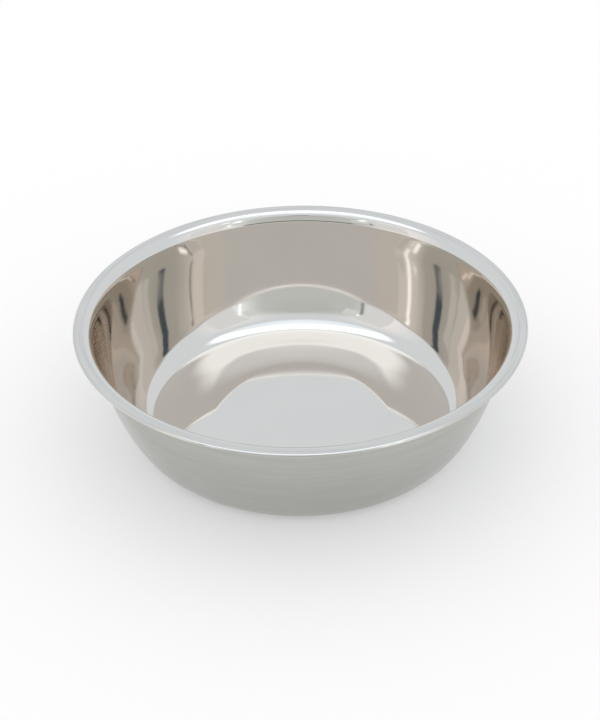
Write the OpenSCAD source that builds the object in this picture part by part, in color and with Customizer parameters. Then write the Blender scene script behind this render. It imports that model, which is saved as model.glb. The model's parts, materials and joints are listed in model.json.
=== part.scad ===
// Round bowl pressed from one sheet of stainless steel.
// A flat disc in the middle of the floor is pushed up, a cone falls from it to
// a ring that stands on the table, a tight corner turns up into a slightly
// bowed wall, and the top is rolled over into a flat rim with its edge bent down.
// Millimetres, +Z up, centre of the base at the origin.

/* [Overall] */
// Outside diameter across the rim
rim_diameter = 240; // [230:1:300]
// Height from the table to the top of the rim
height = 66.5; // [61:0.5:100]
// Thickness of the sheet
sheet = 0.7; // [0.4:0.1:1]

/* [Floor] */
// Diameter of the flat raised disc in the middle of the floor
disc_diameter = 79; // [40:1:88]
// How far the disc is raised above the ring that stands on the table
disc_rise = 5.5; // [2:0.1:7.6]
// Radius of the bend at the edge of the raised disc
crease_radius = 44; // [14:1:80]
// Inside radius of the bend from the cone onto the standing ring
ring_radius = 54; // [16:1:90]
// Width of the flat ring that stands on the table
ring_width = 2.4; // [1:0.1:4]

/* [Corner] */
// Inside radius of the heel, where the floor starts to turn up
heel_radius = 13; // [6:0.5:28]
// Slope where the heel ends, in degrees
heel_rise = 22; // [10:0.5:40]
// Inside radius of the tight corner
corner_radius = 15; // [8:0.5:30]
// Lean from upright where the corner ends, in degrees
corner_lean = 41; // [33:0.5:55]
// Inside radius of the shoulder above the corner
shoulder_radius = 28.5; // [12:0.5:70]
// Lean from upright where the shoulder ends, in degrees
shoulder_lean = 29.5; // [26:0.5:38]

/* [Wall] */
// Inside radius of the flank, the lowest and roundest part of the wall
flank_radius = 71; // [30:1:150]
// Lean from upright where the flank ends, in degrees
flank_lean = 24; // [15:0.5:28]
// Inside radius of the bow in the wall, seen from the side
wall_radius = 152; // [80:1:175]
// Lean of the wall from upright below the rim, in degrees
wall_lean = 10.5; // [8:0.5:18]

/* [Rim] */
// Radius of the first, wide sweep from the wall into the rim
sweep_radius = 15; // [5:0.5:30]
// Lean from upright where the sweep ends, in degrees
sweep_lean = 29; // [18:0.5:60]
// Radius of the tighter roll onto the flat of the rim
roll_radius = 4.8; // [2:0.1:10]
// Width of the flat on top of the rim
flange_width = 3.5; // [1:0.1:8]
// Radius of the bend at the outer edge of the rim
edge_radius = 1.1; // [0.9:0.1:3]
// How far the outer edge of the rim is bent down, in degrees
edge_turn = 80; // [30:1:90]

/* [Hidden] */
turn_faces = 180;
chord_error = 0.005;
steel = [0.74, 0.74, 0.73];

// The inside face is followed from the centre of the floor to the outer edge of
// the rim. A station on it is [point, angle], where the angle is the height of
// the face's normal above the horizon: 90 on the flat floor, 0 on an upright
// wall and past 90 where the edge of the rim is bent down.
function normal(a) = [-cos(a), sin(a)];
function along(a) = [sin(a), cos(a)];

// Travel along a bend of radius q from angle a to angle b. The radius is taken
// as negative where the bend is round towards the inside of the bowl.
function travel(q, a, b) = q * (normal(a) - normal(b));
function chords(q, a, b) = ceil(abs(b - a) / (2 * acos(1 - chord_error / abs(q))));
function bend(start, q, a, b) = [
    for (i = [1 : chords(q, a, b)])
        let (angle = a + (b - a) * i / chords(q, a, b))
        [start + travel(q, a, angle), angle]
];

// From the standing ring to the rim. The straight top of the wall takes up what
// the bends leave of the height.
heel_end = 90 - heel_rise;
heel_step = travel(heel_radius, 90, heel_end);
corner_step = travel(corner_radius, heel_end, corner_lean);
shoulder_step = travel(shoulder_radius, corner_lean, shoulder_lean);
flank_step = travel(flank_radius, shoulder_lean, flank_lean);
bow_step = travel(wall_radius, flank_lean, wall_lean);
sweep_step = travel(-sweep_radius, wall_lean, sweep_lean);
roll_step = travel(-roll_radius, sweep_lean, 90);
lower_bends = heel_step + corner_step + shoulder_step + flank_step;
upper_bends = bow_step + sweep_step + roll_step;
bends = lower_bends + upper_bends;
wall_length = (height - sheet - bends[1]) / cos(wall_lean);
wall_step = wall_length * along(wall_lean);

edge_end = 90 + edge_turn;
edge_step = travel(-edge_radius, 90, edge_end);
flange_end = [rim_diameter / 2 - edge_step[0], height];
flange_start = flange_end - [flange_width, 0];
roll_start = flange_start - roll_step;
sweep_start = roll_start - sweep_step;
wall_start = sweep_start - wall_step;
bow_start = wall_start - bow_step;
flank_start = bow_start - flank_step;
shoulder_start = flank_start - shoulder_step;
corner_start = shoulder_start - corner_step;
heel_start = corner_start - heel_step;

// From the raised disc to the standing ring: the cone is the straight line that
// touches the bends at both its ends. On a narrow slope the two bends shrink
// alike, so that some of the cone stays straight between them.
bend_limit = 0.95;
disc_end = [disc_diameter / 2, sheet + disc_rise];
ring_start = heel_start - [ring_width, 0];
run_across = ring_start[0] - disc_end[0];
bend_room = (run_across ^ 2 + disc_rise ^ 2) / (2 * disc_rise);
bend_share = min(1, bend_limit * bend_room / (crease_radius + ring_radius));
crease_bend = bend_share * crease_radius;
ring_bend = bend_share * ring_radius;
bend_sum = crease_bend + ring_bend;
run_up = bend_sum - disc_rise;
cone_fall = atan2(run_across, run_up) - acos(bend_sum / norm([run_across, run_up]));
cone_angle = 90 + cone_fall;
cone_end = ring_start - travel(ring_bend, cone_angle, 90);

stations = concat(
    [[[0, sheet + disc_rise], 90], [disc_end, 90]],
    bend(disc_end, -crease_bend, 90, cone_angle),
    [[cone_end, cone_angle]],
    bend(cone_end, ring_bend, cone_angle, 90),
    [[heel_start, 90]],
    bend(heel_start, heel_radius, 90, heel_end),
    bend(corner_start, corner_radius, heel_end, corner_lean),
    bend(shoulder_start, shoulder_radius, corner_lean, shoulder_lean),
    bend(flank_start, flank_radius, shoulder_lean, flank_lean),
    bend(bow_start, wall_radius, flank_lean, wall_lean),
    [[sweep_start, wall_lean]],
    bend(sweep_start, -sweep_radius, wall_lean, sweep_lean),
    bend(roll_start, -roll_radius, sweep_lean, 90),
    [[flange_end, 90]],
    bend(flange_end, -edge_radius, 90, edge_end)
);

// Both faces of the sheet: the inside one outwards, the outside one back
inside_face = [for (s = stations) s[0]];
outside_face = [
    for (i = [len(stations) - 1 : -1 : 0])
        stations[i][0] - sheet * normal(stations[i][1])
];

module bowl() {
    color(steel)
        rotate_extrude($fn = turn_faces)
            polygon(concat(inside_face, outside_face));
}

bowl();
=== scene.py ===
# Round pressed steel bowl: its polished and satin faces, a light tent, a pale floor and the camera.
import json
import logging
import math
from dataclasses import dataclass, field
from enum import Enum, IntEnum
from typing import Optional, Union

import bpy
from mathutils import Matrix, Vector

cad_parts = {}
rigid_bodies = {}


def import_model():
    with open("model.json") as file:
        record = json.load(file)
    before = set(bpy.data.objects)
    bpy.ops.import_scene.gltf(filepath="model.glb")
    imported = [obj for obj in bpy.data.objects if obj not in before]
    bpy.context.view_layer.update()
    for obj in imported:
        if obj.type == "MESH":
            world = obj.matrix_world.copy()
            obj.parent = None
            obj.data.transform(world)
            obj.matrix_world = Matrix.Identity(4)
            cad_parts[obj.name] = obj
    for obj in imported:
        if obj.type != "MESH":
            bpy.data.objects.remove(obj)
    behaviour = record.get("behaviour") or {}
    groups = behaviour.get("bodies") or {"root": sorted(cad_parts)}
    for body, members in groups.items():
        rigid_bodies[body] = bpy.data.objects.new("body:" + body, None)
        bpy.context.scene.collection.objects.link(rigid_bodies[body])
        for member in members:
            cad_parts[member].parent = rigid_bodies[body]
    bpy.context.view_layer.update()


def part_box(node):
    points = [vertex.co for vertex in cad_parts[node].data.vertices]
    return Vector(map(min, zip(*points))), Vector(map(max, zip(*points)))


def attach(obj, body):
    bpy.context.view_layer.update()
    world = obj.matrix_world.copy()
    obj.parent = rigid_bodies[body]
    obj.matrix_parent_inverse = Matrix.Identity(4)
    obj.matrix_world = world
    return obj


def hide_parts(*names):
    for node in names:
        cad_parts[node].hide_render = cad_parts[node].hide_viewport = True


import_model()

PHOTO_LONG_SIDE = 720
SENSOR_WIDTH = 36.0
MIRROR_BOUNCES = 24
QUARTER_TURN = 90.0
HALF_TURN = 180.0

log = logging.getLogger("bowl")

Socket = bpy.types.NodeSocket
Value = Union[Socket, float]
Colour = tuple[float, float, float]
Rgba = tuple[float, float, float, float]
Span = tuple[float, float]
Bend = tuple[float, float]

BLACK: Colour = (0.0, 0.0, 0.0)
WHITE: Colour = (1.0, 1.0, 1.0)
ROOF_TINT: Colour = (0.97, 1.0, 1.03)
FRONT_CARD: Colour = (0.653, 0.716, 0.747)
SIDE_CARD: Colour = (0.92, 1.0, 1.07)
CORNER_CARD: Colour = (0.87, 0.96, 1.03)


class Side(IntEnum):
    """The two faces of the sheet, numbered as the bowl's material slots."""

    INSIDE = 0
    OUTSIDE = 1


class RayKind(Enum):
    """Kinds of ray that see the floor as white, by their Light Path output."""

    CAMERA = "Is Camera Ray"
    GLOSSY = "Is Glossy Ray"
    TRANSMISSION = "Is Transmission Ray"


class PanelShape(Enum):
    """Outlines that a panel of the tent can have. A half round one is flat at its bottom."""

    RECTANGLE = "rectangle"
    ROUND = "round"
    HALF_ROUND = "half round"


class NodeDesk:
    """Adds and joins the nodes of one node tree."""

    # Places of the Mix node's colour sockets
    FIRST_COLOUR = 6
    SECOND_COLOUR = 7
    MIXED_COLOUR = 2

    def __init__(self, tree: bpy.types.NodeTree) -> None:
        """Empties the tree.

        Args:
            tree: the node tree to fill.
        """
        self.tree = tree
        tree.nodes.clear()

    def add(self, kind: str, **settings: object) -> bpy.types.Node:
        """Adds a node and sets its properties.

        Args:
            kind: the node's type, without its ShaderNode prefix.
            settings: properties of the node.

        Returns:
            The new node.
        """
        node = self.tree.nodes.new("ShaderNode" + kind)
        for name, value in settings.items():
            setattr(node, name, value)
        return node

    def feed(self, socket: Socket, value: object) -> None:
        """Joins a socket to another one, or sets it to a plain value.

        Args:
            socket: the input to feed.
            value: an output socket, a number, or the numbers of a vector or colour.
        """
        if isinstance(value, bpy.types.NodeSocket):
            self.tree.links.new(value, socket)
        else:
            socket.default_value = value

    def math(self, operation: str, first: Value, second: Value = 0.0) -> Socket:
        """Adds one sum.

        Args:
            operation: the sum's name, such as ADD.
            first: its first number.
            second: its second number, where it has one.

        Returns:
            The result.
        """
        node = self.add("Math", operation=operation)
        self.feed(node.inputs[0], first)
        self.feed(node.inputs[1], second)
        return node.outputs[0]

    def dot(self, vector: Socket, axis: Vector) -> Socket:
        """Measures a vector along an axis.

        Args:
            vector: the vector.
            axis: a direction of length one.

        Returns:
            The vector's reach along the axis.
        """
        node = self.add("VectorMath", operation="DOT_PRODUCT")
        self.feed(node.inputs[0], vector)
        self.feed(node.inputs[1], tuple(axis))
        return node.outputs["Value"]

    def ramp(self, value: Value, start: float, end: float, low: float, high: float) -> Socket:
        """Eases from one number to another as a value goes from start to end.

        Args:
            value: what drives the change.
            start: the value at which the change begins.
            end: the value at which it ends.
            low: the number before the change.
            high: the number after it.

        Returns:
            The eased number.
        """
        node = self.add("MapRange", interpolation_type="SMOOTHSTEP")
        for socket, number in zip(node.inputs, (value, start, end, low, high)):
            self.feed(socket, number)
        return node.outputs["Result"]

    def blend(self, share: Value, first: object, second: object) -> Socket:
        """Mixes two colours.

        Args:
            share: how much of the second colour shows, from 0 to 1.
            first: the first colour.
            second: the second colour.

        Returns:
            The mixed colour.
        """
        node = self.add("Mix", data_type="RGBA")
        self.feed(node.inputs["Factor"], share)
        self.feed(node.inputs[self.FIRST_COLOUR], first)
        self.feed(node.inputs[self.SECOND_COLOUR], second)
        return node.outputs[self.MIXED_COLOUR]

    def noise(self, vector: Socket, scale: float, detail: float) -> Socket:
        """Adds a noise.

        Args:
            vector: the place that it is read at.
            scale: how many waves there are to one unit of the vector.
            detail: how many finer layers it has.

        Returns:
            The noise, from 0 to 1.
        """
        node = self.add("TexNoise")
        self.feed(node.inputs["Vector"], vector)
        self.feed(node.inputs["Scale"], scale)
        self.feed(node.inputs["Detail"], detail)
        return node.outputs["Fac"]


def new_material(name: str) -> tuple[bpy.types.Material, NodeDesk]:
    """Makes an empty material.

    Args:
        name: the material's name.

    Returns:
        The material and the desk that fills it.
    """
    material = bpy.data.materials.new(name)
    material.use_nodes = True
    return material, NodeDesk(material.node_tree)


def opaque(colour: Colour) -> Rgba:
    """Gives a colour with full alpha, as a colour socket takes it."""
    return (*colour, 1.0)


def end_as_glow(material: bpy.types.Material, desk: NodeDesk, light: object) -> bpy.types.Material:
    """Ends a material as a glow that lights nothing and only shows in reflections.

    Args:
        material: the material.
        desk: the desk that fills it.
        light: the colour of the glow.

    Returns:
        The finished material.
    """
    glow = desk.add("Emission")
    desk.feed(glow.inputs["Color"], light)
    out = desk.add("OutputMaterial")
    desk.feed(out.inputs["Surface"], glow.outputs[0])
    material.cycles.emission_sampling = "NONE"
    return material


@dataclass(frozen=True)
class SteelFinish:
    """Bare stainless steel, turned or polished round the bowl's axis.

    Pitches, heights and the radii at which the brushed grain starts and is full are in metres. A span is the part
    of its noise over which the tarnish, the grain or the smear comes on, and layers are how fine a noise goes.
    """

    name: str
    colour: Colour
    roughness: float
    haze: float
    line_pitch: float
    line_height: float
    wave_pitch: float
    wave_height: float
    tarnish: float
    grain: float
    grain_start: float
    grain_full: float
    grain_pitch: float
    turns_per_unit: float = 2.0
    haze_pitch: float = 0.035
    line_layers: float = 3.0
    haze_layers: float = 4.0
    wave_layers: float = 1.0
    tarnish_span: Span = (0.3, 0.75)
    grain_span: Span = (0.3, 0.7)
    smear_span: Span = (0.25, 0.75)

    def radius(self, desk: NodeDesk, place: Socket) -> Socket:
        """Measures how far a point lies from the axis.

        Args:
            desk: the material's desk.
            place: a point on the bowl.

        Returns:
            The distance in metres.
        """
        level = desk.add("VectorMath", operation="MULTIPLY")
        desk.feed(level.inputs[0], place)
        desk.feed(level.inputs[1], (1.0, 1.0, 0.0))
        length = desk.add("VectorMath", operation="LENGTH")
        desk.feed(length.inputs[0], level.outputs[0])
        return length.outputs["Value"]

    def lines_round_axis(self, desk: NodeDesk, place: Socket, pitch: float) -> Socket:
        """Makes fine lines that run round the axis, over the floor, wall and rim.

        Args:
            desk: the material's desk.
            place: a point on the bowl.
            pitch: the distance between the lines.

        Returns:
            The height of the lines, from 0 to 1.
        """
        parts = desk.add("SeparateXYZ")
        desk.feed(parts.inputs[0], place)
        across, deep, up = parts.outputs
        radius = self.radius(desk, place)
        safe_radius = desk.math("MAXIMUM", radius, pitch)
        along = desk.math("DIVIDE", desk.math("ADD", radius, up), pitch)
        turned = desk.add("CombineXYZ")
        for socket, side in zip(turned.inputs, (across, deep)):
            share = desk.math("DIVIDE", side, safe_radius)
            desk.feed(socket, desk.math("MULTIPLY", share, self.turns_per_unit))
        desk.feed(turned.inputs[2], along)
        return desk.noise(turned.outputs[0], 1.0, self.line_layers)

    def tint(self, desk: NodeDesk, place: Socket, clouds: Socket) -> Socket:
        """Mixes the steel's colour from its bare, tarnished and grained parts.

        Args:
            desk: the material's desk.
            place: a point on the bowl.
            clouds: the noise that the tarnish follows.

        Returns:
            The colour.
        """
        worn = tuple(channel * (1.0 - self.tarnish) for channel in self.colour)
        tarnished = desk.ramp(clouds, *self.tarnish_span, 0.0, 1.0)
        plain = desk.blend(tarnished, opaque(self.colour), opaque(worn))
        grain = desk.ramp(self.lines_round_axis(desk, place, self.grain_pitch), *self.grain_span, 0.0, self.grain)
        grained = desk.ramp(self.radius(desk, place), self.grain_start, self.grain_full, 0.0, 1.0)
        return desk.blend(desk.math("MULTIPLY", grain, grained), plain, opaque(BLACK))

    def bump(self, desk: NodeDesk, pattern: Socket, height: float, normal: Optional[Socket] = None) -> Socket:
        """Raises a pattern on the steel.

        Args:
            desk: the material's desk.
            pattern: the pattern, from 0 to 1.
            height: how high it stands.
            normal: the normal of a pattern below it, where there is one.

        Returns:
            The normal with the pattern on it.
        """
        node = desk.add("Bump")
        node.inputs["Strength"].default_value = 1.0
        node.inputs["Distance"].default_value = height
        desk.feed(node.inputs["Height"], pattern)
        if normal is not None:
            desk.feed(node.inputs["Normal"], normal)
        return node.outputs["Normal"]

    def make(self) -> bpy.types.Material:
        """Makes the material.

        Returns:
            The finished material.
        """
        material, desk = new_material(self.name)
        place = desk.add("TexCoord").outputs["Object"]
        lines = self.lines_round_axis(desk, place, self.line_pitch)
        clouds = desk.noise(place, 1.0 / self.haze_pitch, self.haze_layers)
        waves = desk.noise(place, 1.0 / self.wave_pitch, self.wave_layers)
        smear = desk.math("MULTIPLY", desk.math("ADD", clouds, lines), 0.5)
        roughness = desk.ramp(smear, *self.smear_span, self.roughness - self.haze, self.roughness + self.haze)
        wavy = self.bump(desk, waves, self.wave_height)

        steel = desk.add("BsdfPrincipled")
        steel.inputs["Metallic"].default_value = 1.0
        desk.feed(steel.inputs["Base Color"], self.tint(desk, place, clouds))
        desk.feed(steel.inputs["Roughness"], roughness)
        desk.feed(steel.inputs["Normal"], self.bump(desk, lines, self.line_height, wavy))
        out = desk.add("OutputMaterial")
        desk.feed(out.inputs["Surface"], steel.outputs[0])
        return material


@dataclass(frozen=True)
class PaleFloor:
    """White floor paint that goes out to plain white and keeps the bowl's soft shadow."""

    name: str = "pale_floor"
    paint: float = 0.72
    lift: float = 0.28

    def make(self) -> bpy.types.Material:
        """Makes the material.

        Returns:
            The finished material.
        """
        material, desk = new_material(self.name)
        path = desk.add("LightPath")
        seen = path.outputs[RayKind.CAMERA.value]
        for kind in (RayKind.GLOSSY, RayKind.TRANSMISSION):
            seen = desk.math("MAXIMUM", seen, path.outputs[kind.value])
        paint = desk.add("BsdfDiffuse")
        paint.inputs["Color"].default_value = opaque((self.paint, self.paint, self.paint))
        glow = desk.add("Emission")
        desk.feed(glow.inputs["Strength"], desk.math("MULTIPLY", seen, self.lift))
        both = desk.add("AddShader")
        desk.feed(both.inputs[0], paint.outputs[0])
        desk.feed(both.inputs[1], glow.outputs[0])
        out = desk.add("OutputMaterial")
        desk.feed(out.inputs["Surface"], both.outputs[0])
        return material


@dataclass(frozen=True)
class TentPanel:
    """A soft-edged panel of the tent, placed by the direction in which the bowl sees it.

    Azimuth is measured from the back of the tent towards the right, elevation from the floor and lean from
    upright towards the panel's right, all in degrees. The tint multiplies the tent's daylight colour. A round
    panel reaches half_width upwards and stretch times as much sideways. A half round one starts half_height
    below its middle.
    """

    name: str
    azimuth: float
    elevation: float
    half_width: float
    half_height: float
    feather: float
    brightness: float
    tint: Colour = WHITE
    lean: float = 0.0
    shape: PanelShape = PanelShape.RECTANGLE
    stretch: float = 1.0

    def axes(self) -> tuple[Vector, Vector, Vector]:
        """Gives the panel's own directions.

        Returns:
            Unit vectors towards the panel, to its right and to its top.
        """
        azimuth, elevation, lean = (math.radians(angle) for angle in (self.azimuth, self.elevation, self.lean))
        level = Vector((math.sin(azimuth), math.cos(azimuth), 0.0))
        forward = level * math.cos(elevation) + Vector((0.0, 0.0, 1.0)) * math.sin(elevation)
        right = Vector((math.cos(azimuth), -math.sin(azimuth), 0.0))
        top = right.cross(forward)
        leaning_top = top * math.cos(lean) + right * math.sin(lean)
        leaning_right = right * math.cos(lean) - top * math.sin(lean)
        return forward, leaning_right, leaning_top

    def cover(self, desk: NodeDesk, place: Socket) -> Socket:
        """Says where the panel lies.

        Args:
            desk: the tent material's desk.
            place: a point on the tent.

        Returns:
            1 on the panel and 0 off it, eased over the feather.
        """
        forward, right, top = self.axes()
        ahead = desk.dot(place, forward)
        across = desk.math("DIVIDE", desk.dot(place, right), ahead)
        upwards = desk.math("DIVIDE", desk.dot(place, top), ahead)
        covered: Value = desk.math("GREATER_THAN", ahead, 0.0)
        if self.shape is PanelShape.RECTANGLE:
            limits = [
                (desk.math("ABSOLUTE", across), self.half_width),
                (desk.math("ABSOLUTE", upwards), self.half_height),
            ]
        else:
            across = desk.math("DIVIDE", across, self.stretch)
            squares = desk.math("ADD", desk.math("POWER", across, 2.0), desk.math("POWER", upwards, 2.0))
            limits = [(desk.math("SQRT", squares), self.half_width)]
        if self.shape is PanelShape.HALF_ROUND:
            limits.append((desk.math("MULTIPLY", upwards, -1.0), self.half_height))
        for slope, half in limits:
            inner = math.tan(math.radians(half - self.feather))
            outer = math.tan(math.radians(half + self.feather))
            covered = desk.math("MULTIPLY", covered, desk.ramp(slope, inner, outer, 1.0, 0.0))
        return covered


@dataclass(frozen=True)
class TentCloth:
    """The lit cloth of the light tent, seen only in reflections. A later panel lies over an earlier one."""

    name: str = "tent_cloth"
    daylight: Colour = (0.89, 1.0, 1.115)
    brightness: float = 0.985
    # The numbers are azimuth, elevation, half width, half height, feather and brightness.
    panels: tuple[TentPanel, ...] = (
        TentPanel("left_curtain", 239.0, 17.0, 18.0, 28.0, 15.0, 1.2, tint=(1.07, 1.0, 0.95)),
        TentPanel("right_curtain", 130.0, 25.5, 16.5, 22.5, 12.0, 1.17, tint=(1.04, 1.0, 0.96)),
        TentPanel("door", 186.3, 8.0, 35.2, 33.0, 10.0, 0.75, tint=(1.01, 1.0, 0.92)),
        TentPanel("door_middle", 183.0, 32.5, 16.5, 8.0, 7.8, 0.7, tint=(1.03, 1.0, 0.94)),
        TentPanel("door_gap", 180.0, 11.0, 31.0, 2.4, 0.8, 0.25),
        TentPanel("right_lamp", 134.6, 37.3, 1.9, 3.3, 0.6, 2.2),
        TentPanel("right_lamp_side", 143.0, 31.4, 2.2, 3.4, 0.6, 2.3),
        TentPanel("right_lamp_foot", 137.8, 24.0, 0.9, 8.0, 0.5, 1.75, lean=-16.0),
        TentPanel("left_slit", 224.0, 27.0, 1.1, 11.0, 0.6, 0.38, lean=10.0),
        TentPanel("left_lamp", 219.3, 31.2, 1.7, 3.7, 0.5, 2.15, lean=54.0),
        TentPanel("lens_slit", 180.0, 36.7, 4.8, 4.3, 0.45, 0.14, tint=(0.75, 1.0, 1.25)),
        TentPanel(
            "roof", 180.0, 90.5, 24.0, 0.0, 2.8, 1.3,
            tint=ROOF_TINT, shape=PanelShape.ROUND, stretch=1.2,
        ),
        TentPanel("roof_glow", 180.0, 90.0, 13.0, 0.0, 9.0, 1.47, tint=ROOF_TINT, shape=PanelShape.ROUND),
        TentPanel(
            "roof_light", 180.0, 90.5, 24.5, 0.8, 3.0, 1.9,
            tint=ROOF_TINT, shape=PanelShape.HALF_ROUND, stretch=1.18,
        ),
    )

    def make(self) -> bpy.types.Material:
        """Makes the material.

        Returns:
            The finished material.
        """
        material, desk = new_material(self.name)
        place = desk.add("TexCoord").outputs["Object"]
        light: object = self.shade(self.brightness)
        for panel in self.panels:
            light = desk.blend(panel.cover(desk, place), light, self.shade(panel.brightness, panel.tint))
        return end_as_glow(material, desk, light)

    def shade(self, brightness: float, tint: Colour = WHITE) -> Rgba:
        """Gives the daylight colour at a brightness and tint."""
        return opaque(tuple(brightness * light * share for light, share in zip(self.daylight, tint)))


@dataclass(frozen=True)
class CardPaint:
    """Plain lit cloth of a small card."""

    name: str
    colour: Colour

    def make(self) -> bpy.types.Material:
        """Makes the material.

        Returns:
            The finished material.
        """
        material, desk = new_material(self.name)
        return end_as_glow(material, desk, opaque(self.colour))


POLISHED = SteelFinish(
    name="polished_steel",
    colour=(0.705, 0.641, 0.577),
    roughness=0.055,
    haze=0.02,
    line_pitch=0.0006,
    line_height=1.5e-7,
    wave_pitch=0.045,
    wave_height=1.2e-5,
    tarnish=0.015,
    grain=0.12,
    grain_start=0.1135,
    grain_full=0.1155,
    grain_pitch=0.0013,
)
# The outside's colour is darker than the polished inside's. Part of this is duller satin steel and part is
# painted shade, which darkens what the outer wall mirrors.
SATIN_AND_PAINTED_SHADE = SteelFinish(
    name="satin_steel_and_painted_shade",
    colour=(0.514, 0.519, 0.486),
    roughness=0.22,
    haze=0.05,
    line_pitch=0.0009,
    line_height=2.0e-6,
    wave_pitch=0.05,
    wave_height=2.0e-5,
    tarnish=0.04,
    grain=0.06,
    grain_start=0.0,
    grain_full=0.001,
    grain_pitch=0.0024,
)


def select_all(state: bool) -> None:
    """Selects or deselects everything in the mode that is on.

    Args:
        state: whether it is selected.
    """
    action = "SELECT" if state else "DESELECT"
    if bpy.context.mode == "EDIT_MESH":
        bpy.ops.mesh.select_all(action=action)
    else:
        bpy.ops.object.select_all(action=action)


@dataclass
class SheetPen:
    """Draws the inside line of the sheet from the axis outwards, in edit mode.

    The line lies in the XZ plane. The heading is its slope in degrees: 0 runs level and outwards, 90 upright.
    """

    place: Vector
    heading: float = 0.0
    straight_step: float = 0.004
    bend_step: float = 0.0009
    bend_turn: float = 2.0

    def ahead(self, heading: float) -> Vector:
        """Gives the direction of a heading."""
        angle = math.radians(heading)
        return Vector((math.cos(angle), 0.0, math.sin(angle)))

    def straight(self, length: float) -> None:
        """Extrudes the end of the line straight ahead.

        Args:
            length: how far it goes.
        """
        steps = max(1, math.ceil(length / self.straight_step))
        stride = self.ahead(self.heading) * (length / steps)
        for _ in range(steps):
            bpy.ops.mesh.extrude_vertices_move(TRANSFORM_OT_translate={"value": tuple(stride)})
        self.place = self.place + stride * steps

    def bend(self, radius: float, heading: float) -> None:
        """Spins the end of the line round a bend.

        Args:
            radius: the bend's radius.
            heading: the heading at its end, higher for a bend to the left and lower for one to the right.
        """
        turn = heading - self.heading
        quarter = math.copysign(QUARTER_TURN, turn)
        side = self.heading + quarter
        centre = self.place + self.ahead(side) * radius
        length = radius * math.radians(abs(turn))
        steps = max(math.ceil(length / self.bend_step), math.ceil(abs(turn) / self.bend_turn))
        bpy.ops.mesh.spin(
            steps=steps, angle=math.radians(turn), center=tuple(centre), axis=(0.0, 1.0, 0.0), dupli=False
        )
        self.place = centre + self.ahead(heading - quarter) * radius
        self.heading = heading


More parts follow.
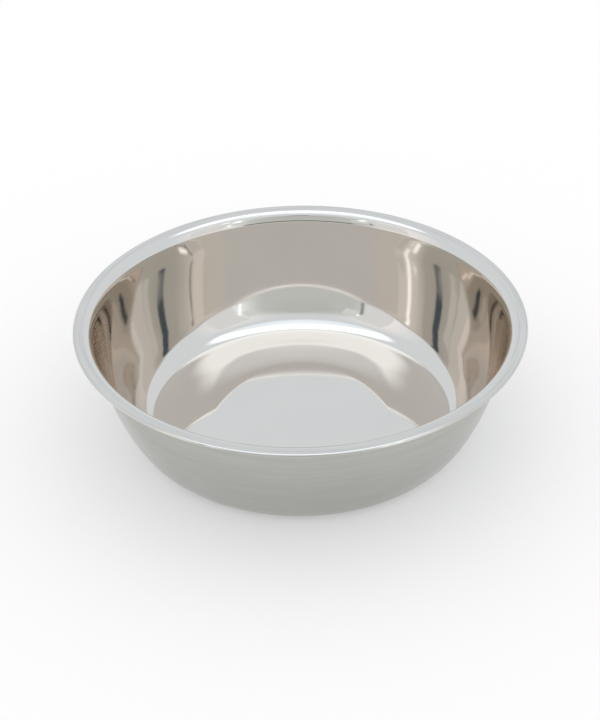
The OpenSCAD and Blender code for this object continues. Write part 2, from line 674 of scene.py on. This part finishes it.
@dataclass
class Bowl:
    """The bowl, pressed from one sheet. Lengths are in metres, angles in degrees, radii on the inside face."""

    rim_radius: float
    height: float
    sheet: float = 0.0007
    disc_radius: float = 0.0395
    disc_rise: float = 0.0055
    crease_radius: float = 0.044
    ring_radius: float = 0.054
    ring_width: float = 0.0024
    heel_radius: float = 0.013
    heel_rise: float = 22.0
    corner_radius: float = 0.015
    corner_lean: float = 41.0
    shoulder_radius: float = 0.0285
    shoulder_lean: float = 29.5
    flank_radius: float = 0.071
    flank_lean: float = 24.0
    wall_radius: float = 0.152
    wall_lean: float = 10.5
    sweep_radius: float = 0.015
    sweep_lean: float = 29.0
    roll_radius: float = 0.0048
    flange_width: float = 0.0035
    edge_radius: float = 0.0011
    edge_turn: float = 80.0
    edge_rounding: float = 0.0001
    edge_segments: int = 3
    turn_steps: int = 192
    merge_distance: float = 1.0e-6
    sharp_angle: float = 40.0
    piece: Optional[bpy.types.Object] = field(default=None, init=False)

    def wall_bends(self) -> list[Bend]:
        """Lists the bends from the standing ring to the straight top of the wall.

        Returns:
            The radius of each bend and the heading at its end.
        """
        return [
            (self.heel_radius, self.heel_rise),
            (self.corner_radius, QUARTER_TURN - self.corner_lean),
            (self.shoulder_radius, QUARTER_TURN - self.shoulder_lean),
            (self.flank_radius, QUARTER_TURN - self.flank_lean),
            (self.wall_radius, QUARTER_TURN - self.wall_lean),
        ]

    def rim_bends(self) -> list[Bend]:
        """Lists the bends from the straight top of the wall to the flat of the rim."""
        return [(self.sweep_radius, QUARTER_TURN - self.sweep_lean), (self.roll_radius, 0.0)]

    def reach(self, bends: list[Bend]) -> tuple[float, float]:
        """Measures how far bends go that follow one another from a level start.

        Args:
            bends: the radius of each bend and the heading at its end.

        Returns:
            How far they go outwards and upwards.
        """
        out, up, before = 0.0, 0.0, 0.0
        for radius, heading in bends:
            after = math.radians(heading)
            signed = math.copysign(radius, after - before)
            out += signed * (math.sin(after) - math.sin(before))
            up += signed * (math.cos(before) - math.cos(after))
            before = after
        return out, up

    def wall_length(self) -> float:
        """Gives the straight top of the wall, which takes up what the bends leave of the height."""
        _, risen = self.reach(self.wall_bends() + self.rim_bends())
        return (self.height - self.sheet - risen) / math.cos(math.radians(self.wall_lean))

    def ring_start(self) -> float:
        """Works back from the rim to the standing ring.

        Returns:
            The radius at which the ring begins.
        """
        out, _ = self.reach(self.wall_bends() + self.rim_bends())
        edge_out, _ = self.reach([(self.edge_radius, -self.edge_turn)])
        out += self.wall_length() * math.sin(math.radians(self.wall_lean))
        return self.rim_radius - out - self.flange_width - edge_out - self.ring_width

    def cone(self) -> tuple[float, float]:
        """Finds the straight line that touches the crease and the ring bend.

        Returns:
            The cone's fall in degrees and its length.
        """
        across = self.ring_start() - self.disc_radius
        bends = self.crease_radius + self.ring_radius
        span = math.hypot(across, bends - self.disc_rise)
        fall = math.atan2(across, bends - self.disc_rise) - math.acos(bends / span)
        return math.degrees(fall), math.sqrt(span**2 - bends**2)

    def draw_sheet(self) -> None:
        """Draws the inside line of the sheet from the middle of the floor to the edge of the rim."""
        start = Vector((0.0, 0.0, self.sheet + self.disc_rise))
        bpy.ops.mesh.primitive_plane_add(size=self.sheet, location=start)
        self.piece = bpy.context.object
        bpy.ops.object.transform_apply(location=True, rotation=True, scale=True)
        bpy.ops.object.mode_set(mode="EDIT")
        bpy.ops.mesh.select_mode(type="VERT")
        select_all(True)
        bpy.ops.mesh.merge(type="CENTER")

        fall, cone_length = self.cone()
        pen = SheetPen(start)
        pen.straight(self.disc_radius)
        pen.bend(self.crease_radius, -fall)
        pen.straight(cone_length)
        pen.bend(self.ring_radius, 0.0)
        pen.straight(self.ring_width)
        for radius, heading in self.wall_bends():
            pen.bend(radius, heading)
        pen.straight(self.wall_length())
        for radius, heading in self.rim_bends():
            pen.bend(radius, heading)
        pen.straight(self.flange_width)
        pen.bend(self.edge_radius, -self.edge_turn)
        log.info("sheet line ends at radius %.4f m, height %.4f m", pen.place.x, pen.place.z)

    def spin_round(self) -> None:
        """Spins the sheet's line round the axis and turns its face to the inside of the bowl."""
        select_all(True)
        bpy.ops.mesh.spin(
            steps=self.turn_steps, angle=math.tau, center=(0.0, 0.0, 0.0), axis=(0.0, 0.0, 1.0), dupli=False
        )
        select_all(True)
        bpy.ops.mesh.remove_doubles(threshold=self.merge_distance)
        bpy.ops.mesh.normals_make_consistent(inside=False)
        bpy.ops.object.mode_set(mode="OBJECT")
        floor = min(self.piece.data.polygons, key=lambda face: face.center.xy.length)
        if floor.normal.z < 0.0:
            bpy.ops.object.mode_set(mode="EDIT")
            select_all(True)
            bpy.ops.mesh.flip_normals()
            bpy.ops.object.mode_set(mode="OBJECT")

    def thicken(self) -> None:
        """Gives the sheet its thickness outwards and eases the cut edge of the rim."""
        solid = self.piece.modifiers.new("thickness", "SOLIDIFY")
        solid.thickness = self.sheet
        solid.offset = -1.0
        solid.use_even_offset = True
        solid.material_offset = Side.OUTSIDE
        bpy.ops.object.modifier_apply(modifier=solid.name)
        ease = self.piece.modifiers.new("eased_edge", "BEVEL")
        ease.width = self.edge_rounding
        ease.segments = self.edge_segments
        ease.limit_method = "ANGLE"
        ease.angle_limit = math.radians(self.sharp_angle)
        bpy.ops.object.modifier_apply(modifier=ease.name)
        bpy.ops.object.shade_smooth_by_angle(angle=math.radians(self.sharp_angle))

    def dress(self) -> None:
        """Gives the inside its polish and the outside its satin, whose darker colour is partly painted shade, in
        the order of their sides.
        """
        finishes = {Side.INSIDE: POLISHED, Side.OUTSIDE: SATIN_AND_PAINTED_SHADE}
        for side in Side:
            self.piece.data.materials.append(finishes[side].make())

    def build(self) -> bpy.types.Object:
        """Models and dresses the bowl.

        Returns:
            The bowl's object.
        """
        select_all(False)
        self.draw_sheet()
        self.spin_round()
        self.piece.name = "bowl_shell"
        self.piece.data.name = "bowl_shell"
        self.dress()
        self.thicken()
        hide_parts("bowl")
        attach(self.piece, "root")
        log.info("%s: %d faces", self.piece.name, len(self.piece.data.polygons))
        return self.piece


@dataclass(frozen=True)
class TentCard:
    """A small card in the tent, which keeps a lamp or the lens out of one part of the bowl's mirror.

    The azimuth and elevation say where it faces, measured in degrees as a panel's are. Lengths are in metres.
    """

    name: str
    place: tuple[float, float, float]
    width: float
    height: float
    colour: Colour
    azimuth: float = HALF_TURN
    elevation: float = 0.0

    def hang(self) -> bpy.types.Object:
        """Hangs the card.

        Returns:
            The card's object.
        """
        facing = (math.radians(QUARTER_TURN - self.elevation), 0.0, math.radians(HALF_TURN - self.azimuth))
        select_all(False)
        bpy.ops.mesh.primitive_plane_add(size=1.0, location=self.place, rotation=facing)
        card = bpy.context.object
        card.scale = (self.width, self.height, 1.0)
        bpy.ops.object.transform_apply(location=True, rotation=True, scale=True)
        card.name = self.name
        card.data.materials.append(CardPaint(self.name + "_cloth", self.colour).make())
        return card


@dataclass
class Studio:
    """The pale floor, the light tent with its cards, and the white surroundings."""

    floor_size: float = 40.0
    tent_radius: float = 0.84
    tent_segments: int = 96
    # The numbers are place, width and height, and after the colour azimuth and elevation.
    cards: tuple[TentCard, ...] = (
        TentCard("camera_card", (0.0, -0.2, 0.188), 0.066, 0.1, FRONT_CARD),
        TentCard("right_card", (0.1705, -0.0876, 0.1444), 0.09, 0.138, SIDE_CARD, 117.2, 37.0),
        TentCard("left_card", (-0.172, -0.0846, 0.1444), 0.083, 0.138, SIDE_CARD, 243.8, 37.0),
        TentCard("right_corner_card", (0.124, -0.138, 0.152), 0.029, 0.06, CORNER_CARD, 138.0, 39.2),
        TentCard("left_corner_card", (-0.1259, -0.1383, 0.1504), 0.0405, 0.05, CORNER_CARD, 222.3, 38.8),
    )

    def lay_floor(self) -> bpy.types.Object:
        """Lays the floor under the bowl.

        Returns:
            The floor's object.
        """
        select_all(False)
        bpy.ops.mesh.primitive_plane_add(size=self.floor_size)
        floor = bpy.context.object
        floor.name = "floor"
        floor.data.materials.append(PaleFloor().make())
        return floor

    def pitch_tent(self) -> bpy.types.Object:
        """Puts up the tent, a dome that only shows in reflections.

        Returns:
            The tent's object.
        """
        select_all(False)
        bpy.ops.mesh.primitive_uv_sphere_add(
            radius=self.tent_radius, segments=self.tent_segments, ring_count=self.tent_segments // 2
        )
        tent = bpy.context.object
        bpy.ops.object.mode_set(mode="EDIT")
        select_all(True)
        bpy.ops.mesh.bisect(plane_co=(0.0, 0.0, 0.0), plane_no=(0.0, 0.0, 1.0), clear_inner=True)
        select_all(True)
        bpy.ops.mesh.flip_normals()
        bpy.ops.object.mode_set(mode="OBJECT")
        tent.name = "light_tent"
        tent.data.materials.append(TentCloth().make())
        return tent

    def show_only_in_metal(self, thing: bpy.types.Object) -> None:
        """Puts a thing on the stage that only shows in reflections.

        Args:
            thing: the object.
        """
        thing.visible_camera = False
        thing.visible_diffuse = False
        thing.visible_shadow = False

    def whiten_world(self) -> None:
        """Makes everything beyond the floor and the tent plain white."""
        world = bpy.data.worlds.new("white_surroundings")
        world.use_nodes = True
        desk = NodeDesk(world.node_tree)
        background = desk.add("Background")
        background.inputs["Color"].default_value = opaque(WHITE)
        background.inputs["Strength"].default_value = 1.0
        out = desk.add("OutputWorld")
        desk.feed(out.inputs["Surface"], background.outputs[0])
        bpy.context.scene.world = world

    def build(self) -> None:
        """Builds the studio."""
        log.info("stage: %s", self.lay_floor().name)
        for made in (self.pitch_tent(), *(card.hang() for card in self.cards)):
            self.show_only_in_metal(made)
            log.info("stage: %s", made.name)
        self.whiten_world()


@dataclass
class PhotoCamera:
    """The camera at the photograph's place. Lengths are in metres, angles in degrees."""

    focal_pixels: float = 1500.7
    distance: float = 0.81279
    elevation: float = 34.794
    roll: float = 0.855
    aim_across: float = -0.00042
    aim_height: float = 0.03729

    def build(self) -> bpy.types.Object:
        """Places the camera and makes it the scene's own.

        Returns:
            The camera's object.
        """
        elevation = math.radians(self.elevation)
        back = Vector((0.0, -math.cos(elevation), math.sin(elevation)))
        aim = Vector((self.aim_across, 0.0, self.aim_height))
        select_all(False)
        bpy.ops.object.camera_add()
        camera = bpy.context.object
        camera.name = "photo_camera"
        tilt = Matrix.Rotation(math.pi / 2.0 - elevation, 4, "X")
        turn = Matrix.Rotation(-math.radians(self.roll), 4, "Z")
        camera.matrix_world = Matrix.Translation(aim + back * self.distance) @ tilt @ turn
        camera.data.sensor_width = SENSOR_WIDTH
        camera.data.lens = SENSOR_WIDTH * self.focal_pixels / PHOTO_LONG_SIDE
        bpy.context.scene.camera = camera
        return camera


def main() -> None:
    """Builds the camera, the bowl and the studio, in that order."""
    logging.basicConfig(level=logging.INFO, format="%(name)s: %(message)s")
    scene = bpy.context.scene
    scene.view_settings.view_transform = "Standard"
    scene.cycles.max_bounces = MIRROR_BOUNCES
    scene.cycles.glossy_bounces = MIRROR_BOUNCES
    PhotoCamera().build()
    _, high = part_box("bowl")
    Bowl(rim_radius=high.x, height=high.z).build()
    Studio().build()


if __name__ == "__main__":
    main()
